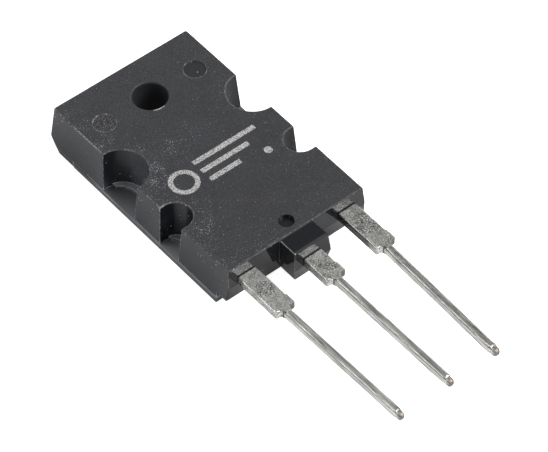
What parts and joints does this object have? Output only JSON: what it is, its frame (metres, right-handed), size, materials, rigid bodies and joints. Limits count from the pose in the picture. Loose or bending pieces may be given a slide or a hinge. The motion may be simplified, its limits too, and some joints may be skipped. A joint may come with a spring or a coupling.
{
  "type": "power transistor",
  "caption": "Black moulded power transistor with a mounting hole, notched sides, an exposed metal back and a row of long leads.",
  "frame": {"origin": "centre of the mounting hole on the flat back face", "axes": "+Z out of the marked front face and along the mounting hole, +Y towards the hole end, the leads run along -Y, +X towards the emitter lead"},
  "size_m": [0.0152, 0.0439, 0.0048],
  "materials": {
    "epoxy": "matte moulded epoxy",
    "tinned_copper": "dull tin plate over copper",
    "solder": "satin",
    "silicon": "polished",
    "wire_aluminium": "drawn"
  },
  "bodies": {
    "root": {"moulded_body": "epoxy", "header": "tinned_copper", "base_lead": "tinned_copper", "emitter_lead": "tinned_copper", "die_solder": "solder", "silicon_die": "silicon", "base_wire": "wire_aluminium", "emitter_wire_1": "wire_aluminium", "emitter_wire_2": "wire_aluminium"}
  },
  "joints": []
}
